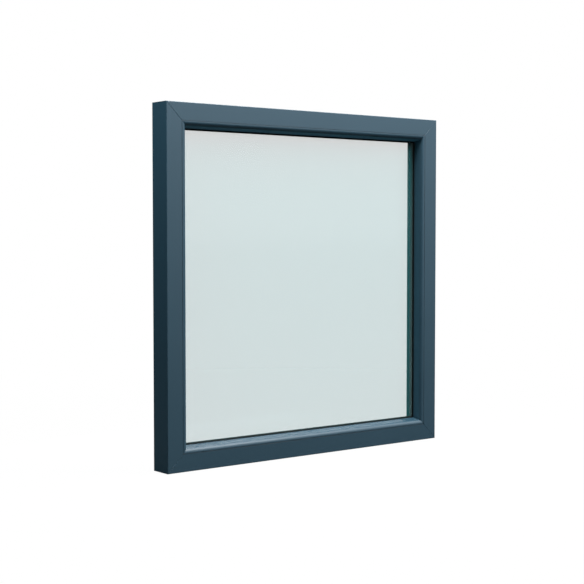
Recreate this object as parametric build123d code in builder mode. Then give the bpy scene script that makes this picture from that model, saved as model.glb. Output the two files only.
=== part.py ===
"""Fixed window, one metre square: a direct-glazed plastic frame with a sealed double-glazed unit.

The origin is at the bottom centre of the frame, X runs across the window, Z up, and -Y is the
weather side. Every bar of the window is one section, swept along a side and mitred at both ends.
A section is drawn with x from the outer edge of the frame towards the glass, and y from the
weather face towards the room.
"""

import os
from math import cos, radians, sin, sqrt, tan

from build123d import *

os.makedirs("parts", exist_ok=True)

# Overall size
width = 1000.0
height = 1000.0
frame_depth = 70.0

# Outline of the frame section
sight_width = 68.6      # outer edge to the edge of the leg that covers the glass
rebate_height = 22.0    # how far the leg stands above the rebate floor
quirk_width = 1.2       # fine groove that ends the flat weather face
quirk_depth = 1.0
quirk_shelf = 2.0       # flat strip between that groove and the round shoulder
nose_radius = 12.0      # round shoulder between the face and the reveal
reveal_angle = 15.5     # slope of the reveal, away from square to the glass
edge_radius = 1.5       # outer arrises
lip_radius = 0.5        # edge of the leg against the gasket

# Walls and chambers of the extrusion
wall = 2.8
web = 1.2
front_cell = 8.5        # first chamber behind the weather face
drain_cell = 6.4        # part of the draining chamber that lies under the glass

# Groove in the leg for the weather gasket, a narrow neck with a wider pocket behind it
gasket_groove_inset = 5.8
gasket_neck_width = 2.4
gasket_neck_depth = 1.2
gasket_pocket_width = 4.4
gasket_pocket_depth = 2.0

# Groove in the rebate floor for the foot of the glazing bead
bead_groove_inset = 5.5
bead_neck_width = 3.0
bead_neck_depth = 2.2
bead_pocket_width = 5.0
bead_pocket_depth = 3.0

# Fine cleaned groove along each welded mitre
weld_groove_width = 1.2
weld_groove_depth = 0.6

# Concealed drainage through the sill
drain_slot_length = 30.0
drain_slot_width = 4.0
drain_inlet_inset = 260.0
drain_outlet_inset = 340.0

# Steel channel inside the frame
steel_wall = 1.5
steel_clearance = 0.3
steel_setback = 12.0

# Sealed unit
pane_thickness = 4.0
cavity = 20.0
glass_clearance = 5.0
glass_arris = 0.5
seal_depth = 5.0
spacer_height = 7.0
spacer_shoulder = 2.0
spacer_bend = 2.0

# Gaskets
weather_gasket = 2.5
weather_gasket_cover = 8.0
weather_lip_reach = 4.4
weather_lip_edge = 0.4
weather_lip_bulge = 0.5
bead_gasket = 3.0
bead_gasket_cover = 4.0
bead_gasket_edge = 0.4
groove_clearance = 0.25

# Glazing bead
bead_thickness = 9.1
bead_height = 19.4
bead_recess = 0.4
bead_nose = 0.6
bead_bevel = 45.0
bead_wall = 1.4
bead_round = 0.8

# Glazing blocks
block_length = 100.0
block_inset = 150.0

# Places that several pieces share, in the section, from the room side to the weather side:
# what the bead, the gaskets and the sealed unit leave of the depth is the leg
unit_thickness = 2 * pane_thickness + cavity
bead_back = frame_depth - bead_recess
bead_face = bead_back - bead_thickness
inner_glass = bead_face - bead_gasket
outer_glass = inner_glass - unit_thickness
leg_depth = outer_glass - weather_gasket
rebate_floor = sight_width - rebate_height
glass_edge = rebate_floor + glass_clearance
bead_top = rebate_floor + bead_height
gasket_groove = sight_width - gasket_groove_inset
bead_groove = frame_depth - bead_groove_inset
front_web = wall + front_cell + web / 2
leg_web = leg_depth - wall / 2
steel_web = leg_depth + drain_cell + web / 2
back_web = bead_groove - bead_pocket_width / 2 - web / 2

# The round shoulder: where it meets the sloping reveal, and where it leaves the shelf beside the quirk
shoulder_depth = nose_radius * (1 - sin(radians(reveal_angle)))
shoulder_x = sight_width - (leg_depth - shoulder_depth) * tan(radians(reveal_angle))
shoulder_start = shoulder_x - nose_radius * cos(radians(reveal_angle))
face_width = shoulder_start - quirk_shelf - quirk_width

# Where the rounded lip of the leg runs out on the side that faces the glass
lip_end = sight_width - lip_radius / tan(radians(45 - reveal_angle / 2))

# Planes of the four sides: origin on the outer edge at mid length, x towards the glass, y into the wall
weather_y = -frame_depth / 2
sides = {
    "head": Plane(origin=(0, weather_y, height), x_dir=(0, 0, -1), z_dir=(1, 0, 0)),
    "sill": Plane(origin=(0, weather_y, 0), x_dir=(0, 0, 1), z_dir=(-1, 0, 0)),
    "jamb_left": Plane(origin=(-width / 2, weather_y, height / 2), x_dir=(1, 0, 0), z_dir=(0, 0, 1)),
    "jamb_right": Plane(origin=(width / 2, weather_y, height / 2), x_dir=(-1, 0, 0), z_dir=(0, 0, -1)),
}
spans = {"head": width, "sill": width, "jamb_left": height, "jamb_right": height}


def frame_outline():
    """Outline of the frame section without its grooves: flat face, round shoulder, reveal and rebate."""
    with BuildSketch() as outline:
        with BuildLine():
            Polyline((shoulder_start, 0), (0, 0), (0, frame_depth), (rebate_floor, frame_depth),
                     (rebate_floor, leg_depth), (sight_width, leg_depth), (shoulder_x, shoulder_depth))
            RadiusArc((shoulder_x, shoulder_depth), (shoulder_start, 0), nose_radius)
        make_face()
        outer_corners = outline.vertices().group_by(Axis.X)[0]
        fillet(outer_corners, radius=edge_radius)
        lip = outline.vertices().sort_by(Axis.X)[-1]
        fillet(lip, radius=lip_radius)
    return outline.sketch


def frame_chambers(outline):
    """The hollows of the extrusion: the outline less its walls, its webs and the groove housings."""
    gasket_housing_width = gasket_pocket_width + 2 * web
    gasket_housing_depth = gasket_neck_depth + gasket_pocket_depth + web
    bead_housing = bead_neck_depth + bead_pocket_depth + web
    with BuildSketch() as chambers:
        offset(outline, amount=-wall, kind=Kind.INTERSECTION)
        with Locations((0, front_web)):
            Rectangle(sight_width, web, align=(Align.MIN, Align.CENTER), mode=Mode.SUBTRACT)
        with Locations((0, leg_web), (0, steel_web), (0, back_web)):
            Rectangle(rebate_floor, web, align=(Align.MIN, Align.CENTER), mode=Mode.SUBTRACT)
        with Locations((rebate_floor, 0)):
            Rectangle(web, leg_depth, align=(Align.MAX, Align.MIN), mode=Mode.SUBTRACT)
        with Locations((gasket_groove, leg_depth)):
            Rectangle(gasket_housing_width, gasket_housing_depth,
                      align=(Align.CENTER, Align.MAX), mode=Mode.SUBTRACT)
        with Locations((rebate_floor, back_web)):
            Rectangle(bead_housing, frame_depth - back_web,
                      align=(Align.MAX, Align.MIN), mode=Mode.SUBTRACT)
    return chambers.sketch


def frame_section():
    """The whole frame section: outline, chambers, the quirk, and the grooves for the gasket and the bead."""
    outline = frame_outline()
    chambers = frame_chambers(outline)
    with BuildSketch() as section:
        add(outline)
        add(chambers, mode=Mode.SUBTRACT)
        with Locations((face_width, 0)):
            Rectangle(quirk_width, quirk_depth, align=Align.MIN, mode=Mode.SUBTRACT)
        with Locations((gasket_groove, leg_depth)):
            Rectangle(gasket_neck_width, gasket_neck_depth,
                      align=(Align.CENTER, Align.MAX), mode=Mode.SUBTRACT)
        with Locations((gasket_groove, leg_depth - gasket_neck_depth)):
            Rectangle(gasket_pocket_width, gasket_pocket_depth,
                      align=(Align.CENTER, Align.MAX), mode=Mode.SUBTRACT)
        with Locations((rebate_floor, bead_groove)):
            Rectangle(bead_neck_depth, bead_neck_width,
                      align=(Align.MAX, Align.CENTER), mode=Mode.SUBTRACT)
        with Locations((rebate_floor - bead_neck_depth, bead_groove)):
            Rectangle(bead_pocket_depth, bead_pocket_width,
                      align=(Align.MAX, Align.CENTER), mode=Mode.SUBTRACT)
    return section.sketch


def steel_section():
    """Folded steel channel that fills the middle chamber, open towards the outer edge of the frame."""
    front = steel_web + web / 2 + steel_clearance
    back = back_web - web / 2 - steel_clearance
    low = wall + steel_clearance
    high = rebate_floor - wall - steel_clearance
    with BuildSketch() as section:
        with Locations((low, front)):
            Rectangle(high - low, back - front, align=Align.MIN)
        with Locations((low, front + steel_wall)):
            Rectangle(high - low - steel_wall, back - front - 2 * steel_wall,
                      align=Align.MIN, mode=Mode.SUBTRACT)
    return section.sketch


def weather_gasket_section():
    """Rubber strip between the leg and the outer pane, with a lip that wipes the glass and a barbed root."""
    start = sight_width - weather_gasket_cover
    tip = sight_width + weather_lip_reach
    root_depth = gasket_neck_depth + groove_clearance
    lip_edge = (tip, outer_glass - weather_lip_edge)
    lip_heel = (lip_end, leg_depth)
    with BuildSketch() as section:
        with BuildLine():
            Polyline(lip_heel, (start, leg_depth), (start, outer_glass), (tip, outer_glass), lip_edge)
            SagittaArc(lip_edge, lip_heel, weather_lip_bulge)
        make_face()
        with Locations((gasket_groove, leg_depth)):
            Rectangle(gasket_neck_width - 2 * groove_clearance, root_depth, align=(Align.CENTER, Align.MAX))
        with Locations((gasket_groove, leg_depth - root_depth)):
            Rectangle(gasket_pocket_width - 2 * groove_clearance, gasket_pocket_depth - 2 * groove_clearance,
                      align=(Align.CENTER, Align.MAX))
    return section.sketch


def bead_section():
    """Hollow bevelled bead that stands on the rebate floor and clips into its groove with a barbed foot."""
    bevel_start = bead_face + bead_nose
    bevel_end = bead_top - (bead_back - bevel_start) * tan(radians(bead_bevel))
    foot_depth = bead_neck_depth + groove_clearance
    with BuildSketch() as section:
        with BuildLine():
            Polyline((rebate_floor, bead_face), (bead_top, bead_face), (bead_top, bevel_start),
                     (bevel_end, bead_back), (rebate_floor, bead_back), close=True)
        make_face()
        offset(amount=-bead_wall, kind=Kind.INTERSECTION, mode=Mode.SUBTRACT)
        arrises = section.vertices().group_by(Axis.Y)[-1].sort_by(Axis.X)[-1]
        fillet(arrises, radius=bead_round)
        with Locations((rebate_floor, bead_groove)):
            Rectangle(foot_depth, bead_neck_width - 2 * groove_clearance, align=(Align.MAX, Align.CENTER))
        with Locations((rebate_floor - foot_depth, bead_groove)):
            Rectangle(bead_pocket_depth - 2 * groove_clearance, bead_pocket_width - 2 * groove_clearance,
                      align=(Align.MAX, Align.CENTER))
    return section.sketch


def bead_gasket_section():
    """Soft wedge between the inner pane and the bead, bonded to the bead."""
    start = bead_top - bead_gasket_cover
    tip = bead_top + bead_gasket
    with BuildSketch() as section:
        with BuildLine():
            Polyline((start, inner_glass), (tip, inner_glass), (tip, inner_glass + bead_gasket_edge),
                     (bead_top, bead_face), (start, bead_face), close=True)
        make_face()
    return section.sketch


def mitre_plane(side, end):
    """Plane of the mitre at one end of a side; it faces the piece that is kept."""
    face = sides[side]
    corner = face.origin + face.z_dir * (end * spans[side] / 2)
    return Plane(origin=corner, z_dir=-(face.z_dir * end + face.x_dir))


def weld_groove_plane(side, end, depth):
    """Plane square to the mitre line, at the corner of the frame, on the face at this depth."""
    face = sides[side]
    corner = face.origin + face.z_dir * (end * spans[side] / 2) + face.y_dir * depth
    return Plane(origin=corner, x_dir=face.y_dir, z_dir=face.x_dir - face.z_dir * end)


def export_piece(part, name):
    """Name a finished piece and write it to its own file."""
    part.label = name
    export_step(part, f"parts/{name}.step")


# The four mitred bars of the frame, welded at the corners
frame_profile = frame_section()
for side, face in sides.items():
    with BuildPart() as frame_bar:
        with BuildSketch(face):
            add(frame_profile)
        extrude(amount=spans[side] / 2, both=True)
        for end in (-1, 1):
            split(bisect_by=mitre_plane(side, end), keep=Keep.TOP)
            for depth, run in ((0, shoulder_start), (frame_depth, rebate_floor)):
                with BuildSketch(weld_groove_plane(side, end, depth)):
                    Polygon((weld_groove_depth, 0), (0, weld_groove_width / 2),
                            (-weld_groove_depth, 0), (0, -weld_groove_width / 2))
                extrude(amount=run * sqrt(2), mode=Mode.SUBTRACT)
        if side == "sill":
            drain_y = weather_y + leg_depth + drain_cell / 2
            slots = ((rebate_floor, drain_inlet_inset, -1), (0, drain_outlet_inset, 1))
            for level, inset, direction in slots:
                reach = width / 2 - inset
                with BuildSketch(Plane.XY.offset(level)):
                    with Locations((-reach, drain_y), (reach, drain_y)):
                        SlotOverall(drain_slot_length, drain_slot_width)
                extrude(amount=direction * (wall + web), mode=Mode.SUBTRACT)
    export_piece(frame_bar.part, f"frame_{side}")

# The steel channels, cut square and short of the welds
steel_profile = steel_section()
for side, face in sides.items():
    with BuildPart() as steel_channel:
        with BuildSketch(face):
            add(steel_profile)
        extrude(amount=spans[side] / 2 - rebate_floor - steel_setback, both=True)
    export_piece(steel_channel.part, f"steel_{side}")

# Gaskets and beads, mitred where they meet in the corners
mitred_strips = {
    "weather_gasket": weather_gasket_section(),
    "bead": bead_section(),
    "bead_gasket": bead_gasket_section(),
}
for strip, profile in mitred_strips.items():
    for side, face in sides.items():
        with BuildPart() as mitred_strip:
            with BuildSketch(face):
                add(profile)
            extrude(amount=spans[side] / 2, both=True)
            for end in (-1, 1):
                split(bisect_by=mitre_plane(side, end), keep=Keep.TOP)
        export_piece(mitred_strip.part, f"{strip}_{side}")

# The two panes
glass_plane = Plane(origin=(0, weather_y, height / 2), x_dir=(1, 0, 0), z_dir=(0, 1, 0))
for pane, depth in (("outer_pane", outer_glass), ("inner_pane", inner_glass - pane_thickness)):
    with BuildPart() as glass:
        with BuildSketch(glass_plane.offset(depth)):
            Rectangle(width - 2 * glass_edge, height - 2 * glass_edge)
        extrude(amount=pane_thickness)
        chamfer(glass.edges(), length=glass_arris)
    export_piece(glass.part, pane)

# Bent spacer bar between the panes, and the sealant that closes the edge of the unit around it
cavity_plane = glass_plane.offset(outer_glass + pane_thickness)
bar_edge = glass_edge + seal_depth
bar_sight = bar_edge + spacer_height
with BuildPart() as spacer_block:
    with BuildSketch(cavity_plane):
        RectangleRounded(width - 2 * bar_edge, height - 2 * bar_edge, spacer_bend + spacer_height)
    extrude(amount=cavity)
    rims = spacer_block.faces().filter_by(Axis.Y).edges()
    chamfer(rims, length=spacer_shoulder)

with BuildPart() as spacer_bar:
    add(spacer_block.part)
    with BuildSketch(cavity_plane):
        RectangleRounded(width - 2 * bar_sight, height - 2 * bar_sight, spacer_bend)
    extrude(amount=cavity, mode=Mode.SUBTRACT)
export_piece(spacer_bar.part, "spacer_bar")

with BuildPart() as edge_seal:
    with BuildSketch(cavity_plane):
        Rectangle(width - 2 * glass_edge, height - 2 * glass_edge)
        seal_sight = bar_edge + spacer_shoulder
        Rectangle(width - 2 * seal_sight, height - 2 * seal_sight, mode=Mode.SUBTRACT)
    extrude(amount=cavity)
    add(spacer_block.part, mode=Mode.SUBTRACT)
export_piece(edge_seal.part, "edge_seal")

# Glazing blocks that carry the unit on the rebate floor, two to a side
for side, face in sides.items():
    reach = spans[side] / 2 - block_inset
    with BuildPart() as blocks:
        for place in (-reach, reach):
            with BuildSketch(face.offset(place)):
                with Locations((rebate_floor, outer_glass)):
                    Rectangle(glass_clearance, unit_thickness, align=Align.MIN)
            extrude(amount=block_length / 2, both=True)
    export_piece(blocks.part, f"glazing_blocks_{side}")
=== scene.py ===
# %% [markdown]
# # A fixed window, one metre square
# The object is the fixed light of a plastic window range: four mitred and welded bars, a sealed unit of two
# panes glazed straight into them, a black gasket outside and bevelled beads on the room side. The photograph
# looks at the weather side from the left, a little above half height.
#
# The solids from the construction program come in as a fixed frame. This script gives them finishes and
# replaces those whose roundings are too coarse for a close look.

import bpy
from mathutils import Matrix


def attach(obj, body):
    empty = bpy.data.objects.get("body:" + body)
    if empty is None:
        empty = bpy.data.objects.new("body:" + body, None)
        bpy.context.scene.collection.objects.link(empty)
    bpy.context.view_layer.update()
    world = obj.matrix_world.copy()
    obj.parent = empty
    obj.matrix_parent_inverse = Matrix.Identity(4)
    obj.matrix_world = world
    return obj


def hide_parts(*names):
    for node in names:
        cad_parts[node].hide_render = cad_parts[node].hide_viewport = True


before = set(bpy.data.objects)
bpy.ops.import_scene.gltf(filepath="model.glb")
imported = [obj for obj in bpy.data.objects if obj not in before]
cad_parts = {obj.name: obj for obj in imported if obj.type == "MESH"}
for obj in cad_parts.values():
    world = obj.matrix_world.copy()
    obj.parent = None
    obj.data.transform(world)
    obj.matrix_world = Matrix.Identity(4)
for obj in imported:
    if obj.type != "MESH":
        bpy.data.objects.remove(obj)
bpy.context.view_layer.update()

# %% Modules and the view transform
from math import atan2, degrees, pi, radians, sin, tan

import bmesh
import bpy
from mathutils import Matrix, Vector

MM = 0.001
SIDES = {"sill": 0, "jamb_left": 90, "head": 180, "jamb_right": 270}
bpy.context.scene.view_settings.view_transform = "Standard"
print("sides, and how far each is turned from the sill:", SIDES)

# %% [markdown]
# ## The section that every bar shares
# A plastic frame is pushed through a die, so it has one section all the way round. All the sizes below are
# millimetres on that section: "across" counts from the outer edge of the frame towards the glass, and "depth"
# from the weather face towards the room. They are the sizes of the construction drawing, so each new piece
# lies exactly where its solid lies.

# %% Sizes of the section
SIZE = 1000.0
DEPTH = 70.0
SIGHT = 68.6  # how much of a bar shows from outside
REBATE_FLOOR = 46.6  # what the glass and the beads stand on
LEG_DEPTH = 27.0  # the leg is the part in front of the glass
OUTER_GLASS = 29.5  # outward face of the outer pane
INNER_GLASS = 57.5  # outward face of the inner pane
BEAD_FACE = 60.5
BEAD_BACK = 69.6
BEAD_TOP = 66.0
BEVEL_END = 57.5  # where the bead's bevel meets its back
QUIRK_WIDTH = 1.2
QUIRK_DEPTH = 1.0
SHELF = 2.0  # the narrow flat between quirk and shoulder
NOSE_RADIUS = 12.0
REVEAL_SLOPE = 15.5  # degrees
OUTER_ARRIS = 1.5
GASKET_GROOVE = SIGHT - 5.8
BEAD_GROOVE = DEPTH - 5.5
GASKET_SLOT = (2.4, 1.2, 4.4, 2.0)  # width and depth of the neck, then of the pocket behind it
BEAD_SLOT = (3.0, 2.2, 5.0, 3.0)
HALF = SIZE / 2 * MM  # from the middle of the window to each edge, in metres

slope = radians(REVEAL_SLOPE)
shoulder_corner = SIGHT - LEG_DEPTH * tan(slope)
shoulder_start = shoulder_corner - NOSE_RADIUS * tan(pi / 4 - slope / 2)
shelf_edge = shoulder_start - SHELF
face_width = shelf_edge - QUIRK_WIDTH
print("flat face", round(face_width, 2), "wide, shoulder from", round(shoulder_start, 2), "to", SIGHT)

# %% [markdown]
# ## Drawing a section
# A section can be modelled as a drawn line that is closed, filled and pulled along the bar. The pen below is
# a plane whose corners are merged to one point. Extrude carries that point along each straight, and spin
# carries it round each arc, so an arc is a true arc and its number of steps is free. Spin counts its angle
# against the right hand, which is why the angle is turned over.

# %% A pen that draws a section
MERGE = 0.001 * MM
FEWEST_STEPS = 3


def place(across, depth, along=0.0):
    """A point of the sill bar in metres, from millimetres on the section and along the bar."""
    return Vector((along, depth - DEPTH / 2, across)) * MM


def corner_arc(before, corner, after, radius):
    """Start, centre, end and turn of the arc that rounds a corner."""
    towards_before = (before - corner).normalized()
    towards_after = (after - corner).normalized()
    half = towards_before.angle(towards_after) / 2
    start = corner + towards_before * radius / tan(half)
    end = corner + towards_after * radius / tan(half)
    centre = corner + (towards_before + towards_after).normalized() * radius / sin(half)
    first, last = start - centre, end - centre
    turn = atan2(first.y * last.z - first.z * last.y, first.dot(last))
    return start, centre, end, turn


def draw_section(name, corners, step):
    """Draws a closed section; a corner is (across, depth) or (across, depth, radius), a step in degrees."""
    points = [place(*corner[:2]) for corner in corners]
    radii = [corner[2] * MM if len(corner) > 2 else 0 for corner in corners]
    bpy.ops.object.select_all(action="DESELECT")
    bpy.ops.mesh.primitive_plane_add(size=MM)
    piece = bpy.context.object
    piece.name = piece.data.name = name
    bpy.ops.object.mode_set(mode="EDIT")
    bpy.ops.mesh.select_mode(type="VERT")
    bpy.ops.mesh.merge(type="CENTER")
    bpy.ops.transform.translate(value=points[0])
    pen = points[0]
    for i in list(range(1, len(points))) + [0]:
        target = points[i]
        if radii[i]:
            after = points[(i + 1) % len(points)]
            target, centre, end, turn = corner_arc(points[i - 1], points[i], after, radii[i])
        bpy.ops.mesh.extrude_region_move(TRANSFORM_OT_translate={"value": target - pen})
        pen = target
        if radii[i]:
            steps = max(FEWEST_STEPS, round(abs(degrees(turn)) / step))
            bpy.ops.mesh.spin(steps=steps, angle=-turn, center=centre, axis=(1, 0, 0))
            pen = end
    bpy.ops.mesh.select_all(action="SELECT")
    bpy.ops.mesh.remove_doubles(threshold=MERGE)
    bpy.ops.mesh.edge_face_add()
    return piece


print("arc test:", round(degrees(corner_arc(place(0, 10), place(0, 0), place(10, 0), MM)[3])), "degrees")

# %% [markdown]
# ## Pulling a bar and sawing its mitres
# The filled section is pulled along the bar, past both corners of the window. Then a plane at 45 degrees saws
# off each end, as the double mitre saw of a window maker does, and the sawn ends are closed.

# %% Pull and saw
SPARE = 20.0  # how far a bar is pulled past each corner
ON_PLANE = 1e-6


def pull_and_mitre():
    """Pulls the section that is being edited, and saws its ends off on the mitres."""
    bpy.ops.mesh.select_all(action="SELECT")
    bpy.ops.transform.translate(value=(-(SIZE / 2 + SPARE) * MM, 0, 0))
    bpy.ops.mesh.extrude_region_move(TRANSFORM_OT_translate={"value": ((SIZE + 2 * SPARE) * MM, 0, 0)})
    for end in (-1, 1):
        bpy.ops.mesh.select_all(action="SELECT")
        bpy.ops.mesh.bisect(plane_co=(end * HALF, 0, 0), plane_no=(end, 0, 1),
                            use_fill=True, clear_outer=True, threshold=ON_PLANE)
    bpy.ops.mesh.select_all(action="SELECT")
    bpy.ops.mesh.remove_doubles(threshold=MERGE)
    bpy.ops.mesh.normals_make_consistent(inside=False)


print("a bar is pulled", SIZE + 2 * SPARE, "mm long before its ends are sawn off")

# %% [markdown]
# ## From one bar to four
# The window is square, so its four bars are one bar turned about the middle of the glass. Each copy gets its
# own mesh, and the turn is put into that mesh, so that patterns on object coordinates run on over all four.
# Flat faces next to a rounding would look bent if their normals were simply averaged, so the shading is
# weighted by the area of the faces.

# %% Finishing and copying
SMOOTH_BELOW = 32  # degrees between two faces


def pick(piece):
    """Selects one object alone and makes it the active one."""
    bpy.ops.object.select_all(action="DESELECT")
    piece.select_set(True)
    bpy.context.view_layer.objects.active = piece


def shade(piece):
    """Smooth across roundings, sharp over real edges, and flat on flat faces."""
    pick(piece)
    bpy.ops.object.shade_smooth_by_angle(angle=radians(SMOOTH_BELOW))
    weighted = piece.modifiers.new("weighted", "WEIGHTED_NORMAL")
    weighted.keep_sharp = True
    bpy.ops.object.modifier_apply(modifier=weighted.name)


def turned_copy(piece, name, angle):
    """A copy with its own mesh, turned about the middle of the window."""
    pick(piece)
    bpy.ops.object.duplicate(linked=False)
    twin = bpy.context.object
    twin.name = twin.data.name = name
    middle = Matrix.Translation((0, 0, HALF))
    twin.matrix_world = middle @ Matrix.Rotation(radians(angle), 4, "Y") @ middle.inverted()
    bpy.ops.object.transform_apply(location=True, rotation=True, scale=True)
    return twin


def dress(piece, node, finish):
    """Puts a finish on a piece, hangs it under the root body and hides the solid it stands for."""
    piece.data.materials.clear()
    piece.data.materials.append(finish)
    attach(piece, "root")
    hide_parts(node)


def four_sides(sill_piece, stem, finish):
    """Copies the finished sill piece to the other three sides and dresses all four."""
    made = {side: turned_copy(sill_piece, f"{stem}_{side}_skin", angle) if angle else sill_piece
            for side, angle in SIDES.items()}
    for side, piece in made.items():
        shade(piece)
        dress(piece, f"{stem}_{side}", finish)
    print(stem, "has", len(sill_piece.data.polygons), "faces a side")


# %% [markdown]
# ## Shader sums
# A finish is easier to read as a sum than as a tangle of nodes. The small class below wraps one socket, so
# that plus, minus, times and divide on it add Math nodes. Everything else, such as noise or a mix, comes from
# one method of the finish, which sets a node's settings first and then its sockets.

# %% Shader classes
class Wire:
    """A socket that can be used in a sum."""

    def __init__(self, tree, socket):
        self.tree, self.socket = tree, socket

    def join(self, operation, first, second=0.0):
        node = self.tree.nodes.new("ShaderNodeMath")
        node.operation = operation
        for socket, value in zip(node.inputs, (first, second)):
            feed(self.tree, socket, value)
        return Wire(self.tree, node.outputs[0])

    def __add__(self, other): return self.join("ADD", self, other)
    def __radd__(self, other): return self.join("ADD", other, self)
    def __sub__(self, other): return self.join("SUBTRACT", self, other)
    def __rsub__(self, other): return self.join("SUBTRACT", other, self)
    def __mul__(self, other): return self.join("MULTIPLY", self, other)
    def __rmul__(self, other): return self.join("MULTIPLY", other, self)
    def __truediv__(self, other): return self.join("DIVIDE", self, other)
    def __abs__(self): return self.join("ABSOLUTE", self)
    def fraction(self): return self.join("FRACT", self)
    def below(self, limit): return self.join("LESS_THAN", self, limit)
    def above(self, limit): return self.join("GREATER_THAN", self, limit)
    def larger(self, other): return self.join("MAXIMUM", self, other)


def feed(tree, socket, value):
    """Links a wire to a socket, or sets the socket's own value."""
    if isinstance(value, Wire):
        tree.links.new(value.socket, socket)
    else:
        socket.default_value = value


class Finish:
    """One material or world, built node by node."""

    def __init__(self, owner):
        owner.use_nodes = True
        self.owner, self.tree = owner, owner.node_tree
        self.tree.nodes.clear()

    def add(self, kind, output, settings, sockets):
        """Adds a node: its settings first, then the values or links of its sockets."""
        node = self.tree.nodes.new("ShaderNode" + kind)
        for key, value in settings.items():
            setattr(node, key, value)
        for key, value in sockets.items():
            feed(self.tree, node.inputs[key], value)
        return node if output is None else Wire(self.tree, node.outputs[output])

    def where(self):
        """The place of each point on the object."""
        return self.add("TexCoord", "Object", {}, {})

    def split(self, vector):
        """The three parts of a vector as wires."""
        node = self.add("SeparateXYZ", None, {}, {0: vector})
        return [Wire(self.tree, output) for output in node.outputs]

    def noise(self, size, detail=2.0, rough=0.5):
        """Noise whose lumps are about this many millimetres across."""
        return self.add("TexNoise", "Fac", {}, {"Vector": self.where(), "Scale": 1 / (size * MM),
                                                "Detail": detail, "Roughness": rough})

    def cells(self, size, output):
        """Cells of about this many millimetres: the distance to their middles, or a colour for each."""
        return self.add("TexVoronoi", output, {}, {"Vector": self.where(), "Scale": 1 / (size * MM)})

    def mix(self, share, first, second):
        """A mix of two colours."""
        return self.add("Mix", 2, {"data_type": "RGBA"}, {0: share, 6: first, 7: second})

    def ease(self, value, start, end, first, last):
        """Goes softly from the first to the last number as the value goes from start to end."""
        return self.add("MapRange", 0, {"interpolation_type": "SMOOTHSTEP"},
                        {"Value": value, "From Min": start, "From Max": end, "To Min": first, "To Max": last})

    def rays(self, kind):
        """1 for the rays of one kind, such as Camera, and 0 for others."""
        return self.add("LightPath", f"Is {kind} Ray", {}, {})

    def bump(self, height, strength, distance):
        """A normal from a height between 0 and 1, with the distance in millimetres."""
        return self.add("Bump", "Normal", {}, {"Height": height, "Strength": strength,
                                               "Distance": distance * MM})

    def mix_shaders(self, share, first, second):
        """A mix of two shaders."""
        return self.add("MixShader", 0, {}, {0: share, 1: first, 2: second})

    def surface(self, shader):
        """Ends the material or world in this shader."""
        kind = "OutputWorld" if isinstance(self.owner, bpy.types.World) else "OutputMaterial"
        self.add(kind, None, {}, {"Surface": shader})
        return self.owner

    def principled(self, sockets):
        """Ends the material in one principled shader."""
        return self.surface(self.add("BsdfPrincipled", 0, {}, sockets))


def new_finish(name):
    return Finish(bpy.data.materials.new(name))


# %% [markdown]
# ## The foil on the frame
# The bars are wrapped in a slate blue foil with a satin sheen. Close up, such a foil is embossed with a fine
# leather grain that breaks the highlight, its gloss drifts a little over each bar, and its blue is not quite
# even. The grain is half a millimetre across, so from the photograph's distance it only softens the sheen.
# On the outer wall of the quirk, a fine dark line of painted shade is put into the foil's colour. That line
# is found by its distance from the nearest outer edge, which is the same number on all four bars.

# %% Foil
FOIL_DEEP, FOIL_PALE = (0.0225, 0.0675, 0.1020, 1), (0.0275, 0.0775, 0.1160, 1)
# Colour of the painted shade line on the quirk's outer wall, and how far either side of that wall it reaches
QUIRK_SHADE_COLOUR = (0.004, 0.006, 0.008, 1)
QUIRK_SHADE_HALF = 0.15
BELOW_QUIRK = 0.1


def quirk_shade_line(f):
    """1 on the outer wall of the quirk, where a dark line of painted shade goes, and 0 elsewhere."""
    x, y, z = f.split(f.where())
    from_edge = HALF - abs(x).larger(abs(z - HALF))
    line = from_edge.above((face_width - QUIRK_SHADE_HALF) * MM) * from_edge.below((face_width + QUIRK_SHADE_HALF) * MM)
    return line * y.below((QUIRK_DEPTH + BELOW_QUIRK - DEPTH / 2) * MM)


def foil_finish():
    f = new_finish("slate_blue_foil")
    cloud = f.noise(170, detail=3.0)
    pores = f.noise(0.5, rough=0.6)
    colour = f.mix(cloud * 0.8 + pores * 0.2, FOIL_DEEP, FOIL_PALE)
    grain = f.cells(0.9, "Distance") * 0.6 + pores * 0.4
    return f.principled({
        # The quirk's outer wall gets painted shade in place of the foil colour
        "Base Color": f.mix(quirk_shade_line(f), colour, QUIRK_SHADE_COLOUR),
        "Roughness": 0.36 + cloud * 0.06 + pores * 0.05, "Specular IOR Level": 0.5,
        "Normal": f.bump(grain, 0.12, 0.05)})


foil = foil_finish()
print("made", foil.name)

# %% [markdown]
# ## The rubber of the gaskets
# Gaskets are drawn rubber: dull, with a bloom that is a touch greyer where it has been handled, and a skin
# of very fine lumps. The weather gasket is nearly black. The lips under the beads are a softer, dark grey
# rubber, which shows through the glass beside the spacer bar. Two noises are enough, one for each scale.

# %% Rubber
RUBBER_GLOSS = 0.1


def rubber_finish(name, deep, pale):
    f = new_finish(name)
    bloom = f.noise(12, detail=4.0)
    fine = f.noise(0.35)
    return f.principled({
        "Base Color": f.mix(bloom, deep, pale), "Roughness": 0.52 + fine * 0.16,
        "Specular IOR Level": RUBBER_GLOSS, "Normal": f.bump(fine, 0.2, 0.04)})


rubber = rubber_finish("black_rubber", (0.0025, 0.0050, 0.0055, 1), (0.0070, 0.0125, 0.0140, 1))
lip_rubber = rubber_finish("grey_rubber", (0.050, 0.046, 0.046, 1), (0.070, 0.065, 0.065, 1))
print("made", rubber.name, "and", lip_rubber.name)

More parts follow.
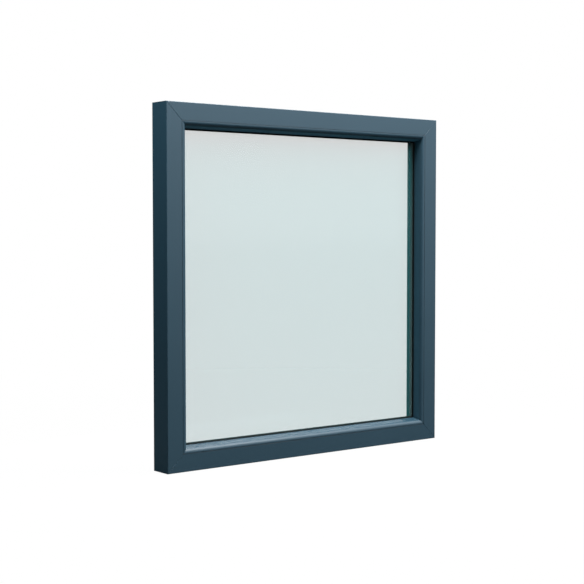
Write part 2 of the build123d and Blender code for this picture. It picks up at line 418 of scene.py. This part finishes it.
# %% [markdown]
# ## The frame bars
# The weather face is flat from the outer edge to a fine groove, the quirk. Past a narrow flat, a round
# shoulder runs into the reveal, which slopes in towards the glass. The leg ends in a small round lip over the
# gasket. On the room side the bar is cut back to the rebate floor. The grooves that hold the gasket root and
# the bead foot are in the section too. The bar could be bevelled out of a box, but a drawn section keeps
# every size.

# %% Draw and pull the frame bar
FINE_ARRIS, SMALL_ARRIS = 0.2, 0.5  # radii of the sharpest corners of drawn plastic, and of plain ones


def groove(across, neck, neck_depth, pocket, pocket_depth):
    """Corners of the gasket groove in the leg, from the glass side to the outer side."""
    mouth, waist = LEG_DEPTH, LEG_DEPTH - neck_depth
    bottom = waist - pocket_depth
    return [(across + neck / 2, mouth), (across + neck / 2, waist), (across + pocket / 2, waist),
            (across + pocket / 2, bottom), (across - pocket / 2, bottom), (across - pocket / 2, waist),
            (across - neck / 2, waist), (across - neck / 2, mouth)]


def clip_groove(depth, neck, neck_depth, pocket, pocket_depth):
    """Corners of the bead groove in the rebate floor, from the glass towards the room."""
    mouth, waist = REBATE_FLOOR, REBATE_FLOOR - neck_depth
    bottom = waist - pocket_depth
    return [(mouth, depth - neck / 2), (waist, depth - neck / 2), (waist, depth - pocket / 2),
            (bottom, depth - pocket / 2), (bottom, depth + pocket / 2), (waist, depth + pocket / 2),
            (waist, depth + neck / 2), (mouth, depth + neck / 2)]


frame_corners = [(0, DEPTH, OUTER_ARRIS), (0, 0, OUTER_ARRIS), (face_width, 0, FINE_ARRIS),
                 (face_width, QUIRK_DEPTH), (shelf_edge, QUIRK_DEPTH), (shelf_edge, 0, FINE_ARRIS),
                 (shoulder_corner, 0, NOSE_RADIUS), (SIGHT, LEG_DEPTH, SMALL_ARRIS)]
frame_corners += groove(GASKET_GROOVE, *GASKET_SLOT)
frame_corners += [(REBATE_FLOOR, LEG_DEPTH)]
frame_corners += clip_groove(BEAD_GROOVE, *BEAD_SLOT)
frame_corners += [(REBATE_FLOOR, DEPTH, SMALL_ARRIS)]
frame_sill = draw_section("frame_sill_skin", frame_corners, step=2.5)
pull_and_mitre()
print("sill bar:", len(frame_sill.data.vertices), "points")

# %% [markdown]
# ## The cleaned weld
# Welding pushes a bead of plastic out of each corner, and a knife then ploughs it off and leaves a hair-fine
# groove along the mitre, over the weather face and over the room face. Each bar carries half of that groove.
# A bevel would stop at the tiny roundings beside the face, so the half groove is sawn instead, with a plane
# that leans over the mitred edge and meets nothing but the flat face.

# %% Saw the weld grooves
WELD_HALF = 0.6


def saw_weld_groove(depth, outward):
    """Cuts the sharp edge between each mitre and a flat face at this depth."""
    for end in (-1, 1):
        into_bar = Vector((-end, 0, -1)).normalized()
        lean = (Vector((0, outward, 0)) - into_bar).normalized()
        on_edge = place(0, depth, end * SIZE / 2) + into_bar * WELD_HALF * MM
        bpy.ops.mesh.select_all(action="SELECT")
        bpy.ops.mesh.bisect(plane_co=on_edge, plane_no=lean, use_fill=True, clear_outer=True,
                            threshold=ON_PLANE)


saw_weld_groove(0, -1)
saw_weld_groove(DEPTH, 1)
bpy.ops.mesh.select_all(action="SELECT")
bpy.ops.mesh.normals_make_consistent(inside=False)
bpy.ops.object.mode_set(mode="OBJECT")
print("sill bar with its weld grooves:", len(frame_sill.data.vertices), "points")

# %% [markdown]
# ## The finished bar goes round the window
# The weld grooves were sawn before the bar is copied, so that all eight ends have them. The drain slots are
# only in the sill, so they come after.

# %% Copy the bar to four sides
four_sides(frame_sill, "frame", foil)

# %% [markdown]
# ## The drain slots of the sill
# Water that gets past the gasket runs to the rebate floor and leaves through the sill: two slots in the floor
# and two in the bottom edge, staggered so that wind can't blow straight through. They are milled, so they are
# sunk after the bars are joined: a rounded cutter is set down four times and taken away from the sill.

# %% Mill the drain slots
SLOT_LENGTH, SLOT_WIDTH, SLOT_SUNK = 30.0, 4.0, 4.0
DRAIN_DEPTH = LEG_DEPTH + 3.2
INLETS, OUTLETS = (-240, 240), (-160, 160)
ROUND_END = 0.499  # of the width, just short of a full half, so that the end's two arcs don't meet


def make_cutter():
    """A block with the upright edges rounded, as a milling tool leaves a slot."""
    bpy.ops.object.select_all(action="DESELECT")
    bpy.ops.mesh.primitive_cube_add(size=MM)
    cutter = bpy.context.object
    bpy.ops.transform.resize(value=(SLOT_LENGTH, SLOT_WIDTH, 2 * SLOT_SUNK))
    bpy.ops.object.transform_apply(location=False, rotation=False, scale=True)
    bpy.ops.object.mode_set(mode="EDIT")
    bpy.ops.mesh.select_mode(type="EDGE")
    bpy.ops.mesh.select_all(action="DESELECT")
    shape = bmesh.from_edit_mesh(cutter.data)
    for line in shape.edges:
        run = line.verts[0].co - line.verts[1].co
        line.select_set(abs(run.z) > abs(run.x) + abs(run.y))
    bmesh.update_edit_mesh(cutter.data)
    bpy.ops.mesh.bevel(offset=ROUND_END * SLOT_WIDTH * MM, segments=6, affect="EDGES")
    bpy.ops.object.mode_set(mode="OBJECT")
    return cutter


def mill_slots(sill):
    """Sinks the inlets into the rebate floor and the outlets into the bottom edge."""
    cutter = make_cutter()
    for level, places in ((REBATE_FLOOR, INLETS), (0, OUTLETS)):
        for along in places:
            cutter.location = place(level, DRAIN_DEPTH, along)
            bpy.context.view_layer.objects.active = sill
            cut = sill.modifiers.new("slot", "BOOLEAN")
            cut.operation, cut.object, cut.solver = "DIFFERENCE", cutter, "EXACT"
            bpy.ops.object.modifier_apply(modifier=cut.name)
    pick(cutter)
    bpy.ops.object.delete()
    shade(sill)


mill_slots(frame_sill)
print("sill bar with its drain slots:", len(frame_sill.data.polygons), "faces")

# %% [markdown]
# ## The weather gasket
# The gasket is a strip between the leg and the outer pane. A barbed root is pushed into the groove of the
# leg, and a soft lip reaches past the leg and wipes the glass. Only the lip shows, as a black line round the
# glass, so its slope and its thin rounded edge matter most. A gasket is drawn through a die as the bar is, so
# it is made in the same way, and its root takes its sizes from the groove.

# %% Draw the weather gasket
ROOT_GAP = 0.25
LIP_EDGE = 0.45  # thickness of a lip near its tip
SOFT_ARRIS = 0.3


def with_gap(neck, neck_depth, pocket, pocket_depth):
    """The sizes of a root that stands in such a groove with a gap all round."""
    return neck - 2 * ROOT_GAP, neck_depth + ROOT_GAP, pocket - 2 * ROOT_GAP, pocket_depth - 2 * ROOT_GAP


lip_tip, gasket_heel = SIGHT + 4.4, SIGHT - 8.0
gasket_corners = [(lip_tip, OUTER_GLASS, 0.12), (lip_tip - 0.1, OUTER_GLASS - LIP_EDGE, 0.25),
                  (SIGHT + 2.1, LEG_DEPTH + 0.75, 6.0), (SIGHT - 0.7, LEG_DEPTH, SOFT_ARRIS)]
gasket_corners += groove(GASKET_GROOVE, *with_gap(*GASKET_SLOT))
gasket_corners += [(gasket_heel, LEG_DEPTH, SOFT_ARRIS), (gasket_heel, OUTER_GLASS, SOFT_ARRIS)]
gasket_sill = draw_section("weather_gasket_sill_skin", gasket_corners, step=12.0)
pull_and_mitre()
bpy.ops.object.mode_set(mode="OBJECT")
four_sides(gasket_sill, "weather_gasket", rubber)

# %% [markdown]
# ## The glazing beads
# On the room side a bead clips into the rebate floor and holds the glass. It stands a little back from the
# room face, and its free corner is bevelled. Its arrises are softly rounded, as on any drawn plastic, so they
# are corners with a radius in the drawn section, and no bevel is needed afterwards.

# %% Draw the bead
bead_corners = [(BEAD_TOP, BEAD_FACE, FINE_ARRIS), (BEAD_TOP, BEAD_FACE + 0.6, 0.35),
                (BEVEL_END, BEAD_BACK, 0.8), (REBATE_FLOOR, BEAD_BACK, FINE_ARRIS)]
bead_corners += clip_groove(BEAD_GROOVE, *with_gap(*BEAD_SLOT))[::-1]
bead_corners += [(REBATE_FLOOR, BEAD_FACE)]
bead_sill = draw_section("bead_sill_skin", bead_corners, step=8.0)
pull_and_mitre()
bpy.ops.object.mode_set(mode="OBJECT")
four_sides(bead_sill, "bead", foil)

# %% [markdown]
# ## The lips of the beads
# A bead doesn't touch the glass. A soft lip is welded along it, and fills the space between the bead and the
# inner pane. It tapers to a thin edge that shows as a dark line from the room, and through the panes from
# outside.

# %% Draw the bead gasket
bead_lip_tip, bead_lip_heel = BEAD_TOP + 3.0, BEAD_TOP - 4.0
bead_gasket_corners = [(bead_lip_heel, INNER_GLASS), (bead_lip_tip, INNER_GLASS, 0.08),
                       (bead_lip_tip - 0.05, INNER_GLASS + LIP_EDGE, 0.2),
                       (BEAD_TOP, BEAD_FACE, SOFT_ARRIS), (bead_lip_heel, BEAD_FACE)]
bead_gasket_sill = draw_section("bead_gasket_sill_skin", bead_gasket_corners, step=12.0)
pull_and_mitre()
bpy.ops.object.mode_set(mode="OBJECT")
four_sides(bead_gasket_sill, "bead_gasket", lip_rubber)

# %% [markdown]
# ## The sealed unit
# Clear float glass still takes some light: the two panes together pass about six tenths of the white
# background here. They catch the lamps as a faint green haze, which adds the rest of what shows, and which
# also shows the soft shadow under the head. A real refracting glass would need many more rays for the same
# look, so each pane is a thin film with a low alpha. Only its outward faces mirror, more so at a glancing
# view.

# %% Glass
TINT_DRIFT = 0.03
MIRROR_SHARE = 0.06


def glass_finish(name, alpha, tint):
    f = new_finish(name)
    deep, pale = ([part * (1 + drift) for part in tint] + [1] for drift in (-TINT_DRIFT, TINT_DRIFT))
    colour = f.mix(f.noise(240), deep, pale)
    film = f.add("BsdfPrincipled", 0, {}, {"Base Color": colour, "Roughness": 0.08, "Alpha": alpha,
                                           "Specular IOR Level": 0.5})
    mirror = f.add("BsdfGlossy", 0, {}, {"Color": (1, 1, 1, 1), "Roughness": 0.015})
    front = 1 - f.add("NewGeometry", "Backfacing", {}, {})
    share = f.add("Fresnel", 0, {}, {"IOR": 1.45}) * front * MIRROR_SHARE
    return f.surface(f.mix_shaders(share, film, mirror))


outer_glass = glass_finish("outer_pane_glass", 0.090, (0.10, 0.62, 0.65))
inner_glass = glass_finish("inner_pane_glass", 0.135, (0.06, 0.27, 0.27))
print("made", outer_glass.name, "and", inner_glass.name)

# %% [markdown]
# ## Finishes of the inner pieces
# The spacer bar is dark grey plastic with two rows of fine slots towards the cavity, through which it dries
# the air. The sealant behind it is black and lumpy, as it was pressed in. The steel channels are galvanised,
# with the crystal pattern of zinc, and the glazing blocks are ribbed blue plastic. The slots and ribs are
# too small to model, so they are masks on the object coordinates: along a bar either x or z stays the same,
# and their sum counts on along it.

# %% Finishes of the inner pieces
CAVITY_MIDDLE = (OUTER_GLASS + INNER_GLASS) / 2
VENT_PITCH, VENT_ROW, VENT_HALF = 3.2, 4.5, 0.5
RIB_PITCH = 4


def spacer_finish():
    f = new_finish("grey_spacer_plastic")
    x, y, z = f.split(f.where())
    along = ((x + z) / (VENT_PITCH * MM)).fraction()
    from_row = abs(abs(y - (CAVITY_MIDDLE - DEPTH / 2) * MM) - VENT_ROW * MM)
    vents = along.above(0.35) * along.below(0.65) * from_row.below(VENT_HALF * MM)
    drift = f.noise(25, detail=3.0)
    colour = f.mix(drift, (0.055, 0.046, 0.046, 1), (0.070, 0.058, 0.058, 1))
    return f.principled({
        "Base Color": f.mix(vents, colour, (0.004, 0.004, 0.004, 1)),
        "Roughness": 0.45 + drift * 0.12, "Specular IOR Level": 0.35,
        "Normal": f.bump(1 - vents, 0.5, 0.2)})


def sealant_finish():
    f = new_finish("edge_sealant_black")
    lumps = f.noise(6, detail=4.0, rough=0.6)
    return f.principled({
        "Base Color": f.mix(lumps, (0.008, 0.008, 0.009, 1), (0.020, 0.020, 0.021, 1)),
        "Roughness": 0.55 + lumps * 0.2, "Normal": f.bump(lumps, 0.6, 0.3)})


def steel_finish():
    f = new_finish("galvanised_steel_spangle")
    crystal = f.add("SeparateColor", "Red", {}, {0: f.cells(11, "Color")})
    fine = f.noise(1.5, detail=3.0)
    return f.principled({
        "Base Color": f.mix(crystal * 0.7 + fine * 0.3, (0.42, 0.44, 0.46, 1), (0.62, 0.64, 0.66, 1)),
        "Metallic": 1.0, "Roughness": 0.30 + crystal * 0.18, "Normal": f.bump(fine, 0.15, 0.05)})


def block_finish():
    f = new_finish("blue_block_plastic")
    x, _, z = f.split(f.where())
    ridge = abs(((x + z) / (RIB_PITCH * MM)).fraction() - 0.5) * 2
    wear = f.noise(9, detail=3.0)
    return f.principled({
        "Base Color": f.mix(wear, (0.020, 0.075, 0.240, 1), (0.030, 0.100, 0.300, 1)),
        "Roughness": 0.42 + wear * 0.15, "Normal": f.bump(ridge, 0.6, 0.4)})


# %% [markdown]
# ## Pieces that stay as they are
# The panes, the spacer bar, the sealant, the steel and the glazing blocks have plain shapes, so their solids
# from the construction program are good enough. They only get their finish, in their own material slots.

# %% Carry the inner pieces over
def carry_over(finish, *nodes):
    for node in nodes:
        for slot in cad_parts[node].material_slots:
            slot.material = finish
    print(finish.name, "on", len(nodes), "solids")


carry_over(spacer_finish(), "spacer_bar")
carry_over(sealant_finish(), "edge_seal")
carry_over(steel_finish(), *(f"steel_{side}" for side in SIDES))
carry_over(block_finish(), *(f"glazing_blocks_{side}" for side in SIDES))
carry_over(outer_glass, "outer_pane")
carry_over(inner_glass, "inner_pane")

# %% [markdown]
# ## The camera
# The photograph's own perspective was worked out from the corners of the frame. The lens is a long one, so
# the sides of the window run nearly parallel. The printed corners are where it puts them in the picture.

# %% Camera
CAMERA_SPOT = (-2.3867, -2.9679, 0.6545)
CAMERA_YAW, CAMERA_PITCH = radians(38.24), radians(-2.691)
LENS, SENSOR, PICTURE = 80.19, 36.0, 584


def make_camera():
    data = bpy.data.cameras.new("camera")
    data.sensor_width, data.lens = SENSOR, LENS
    data.clip_start, data.clip_end = 0.1, 200
    camera = bpy.data.objects.new("camera", data)
    bpy.context.scene.collection.objects.link(camera)
    camera.matrix_world = (Matrix.Translation(CAMERA_SPOT) @ Matrix.Rotation(-CAMERA_YAW, 4, "Z")
                           @ Matrix.Rotation(pi / 2 + CAMERA_PITCH, 4, "X"))
    bpy.context.scene.camera = camera
    to_camera = camera.matrix_world.inverted()
    for x, z in ((-HALF, 2 * HALF), (HALF, 2 * HALF), (-HALF, 0), (HALF, 0)):
        seen = to_camera @ Vector((x, -DEPTH / 2 * MM, z))
        scale = LENS / SENSOR * PICTURE / -seen.z
        print("corner at", round(PICTURE / 2 + seen.x * scale, 1), round(PICTURE / 2 - seen.y * scale, 1))


make_camera()

# %% [markdown]
# ## World, floor and lamps
# The photograph has a plain white background, so the camera sees the world and the floor as white, with a
# faint share of the window's own shadow kept on the floor near it. To the lamps the floor is dark, so that it
# throws no light up at the sill.
#
# The light itself comes from lamps: one nearly overhead, which makes the sill bright and leaves the head's
# reveal dark, one high at the front right, a weak one high at the front left, one for the outer side, and a
# low panel behind the glass that lifts the reveals next to the gasket. The panel is a little blue-green, so
# that the reveals keep their tone. The satin sheen needs something bright to mirror, so to mirrors the studio
# brightens upwards and to the right.

# %% World
MIRRORED_LOW, MIRRORED_HIGH = 0.03, 2.3
RISE, RISE_LEAN = (0.05, 0.35), 0.25  # between which heights mirrors see the studio brighten
RIGHTWARD = (-0.5, 0.3)
AMBIENT = 0.03


def studio_world():
    world = bpy.data.worlds.new("studio")
    bpy.context.scene.world = world
    f = Finish(world)
    across, forward, height = f.split(f.add("TexCoord", "Generated", {}, {}))
    upward = f.ease(height - forward * RISE_LEAN, *RISE, MIRRORED_LOW, MIRRORED_HIGH)
    rightward = f.ease(across, *RIGHTWARD, 0.0, 1.0)
    plain, glossy = f.rays("Camera") + f.rays("Transmission"), f.rays("Glossy")
    strength = plain + glossy * upward * rightward + (1 - plain - glossy) * AMBIENT
    f.surface(f.add("Background", 0, {}, {"Color": (1, 1, 1, 1), "Strength": strength}))
    print("world:", world.name)


studio_world()

# %% Floor
FLOOR_SPAN = 120
SHADOW_SHARE = 0.012
SHADOW_FULL, SHADOW_GONE = 0.8, 2.4  # metres from the window


def studio_floor():
    bpy.ops.object.select_all(action="DESELECT")
    bpy.ops.mesh.primitive_plane_add(size=FLOOR_SPAN)
    floor = bpy.context.object
    floor.name = floor.data.name = "studio_floor"
    f = new_finish("pale_floor")
    dim = f.add("BsdfDiffuse", 0, {}, {"Color": (0.06, 0.06, 0.06, 1)})
    pale = f.add("BsdfDiffuse", 0, {}, {"Color": (0.8, 0.8, 0.8, 1)})
    glow = f.add("Emission", 0, {}, {"Color": (1, 1, 1, 1), "Strength": 1.0})
    away = f.add("VectorMath", "Value", {"operation": "LENGTH"}, {0: f.where()})
    white = f.mix_shaders(f.ease(away, SHADOW_FULL, SHADOW_GONE, SHADOW_SHARE, 0.0), glow, pale)
    seen = f.rays("Camera") + f.rays("Transmission")
    floor.data.materials.append(f.surface(f.mix_shaders(seen, dim, white)))
    print("floor:", FLOOR_SPAN, "metres wide")


studio_floor()

# %% Lamps
PANEL_TINT = (0.70, 1.0, 1.04)


def lamp(name, spot, target, size, watts, colour=(1, 1, 1)):
    """A rectangular lamp at a spot, facing its target."""
    data = bpy.data.lights.new(name, "AREA")
    data.shape, data.size, data.size_y = "RECTANGLE", size[0], size[1]
    data.energy, data.color = watts, colour
    made = bpy.data.objects.new(name, data)
    bpy.context.scene.collection.objects.link(made)
    made.location = spot
    made.rotation_euler = (Vector(target) - Vector(spot)).to_track_quat("-Z", "Y").to_euler()
    made.visible_camera = False
    return made


lamp("top_lamp", spot=(0.5, -0.45, 3.1), target=(0.3, 0, 0.9), size=(1.6, 0.5), watts=76)
lamp("right_lamp", spot=(1.9, -2.2, 3.3), target=(0.3, 0, 0.9), size=(1.0, 0.8), watts=110)
lamp("front_lamp", spot=(-0.8, -1.25, 3.45), target=(-0.3, 0, 0.9), size=(1.0, 0.8), watts=25)
lamp("side_lamp", spot=(-1.5, -0.2, 2.1), target=(-0.5, 0, 0.9), size=(0.6, 0.6), watts=23)
panel = lamp("backdrop_lamp", spot=(0.02, 0.75, 0.15), target=(0.02, 0, 0.45), size=(0.95, 0.4), watts=18,
             colour=PANEL_TINT)
panel.visible_glossy = False
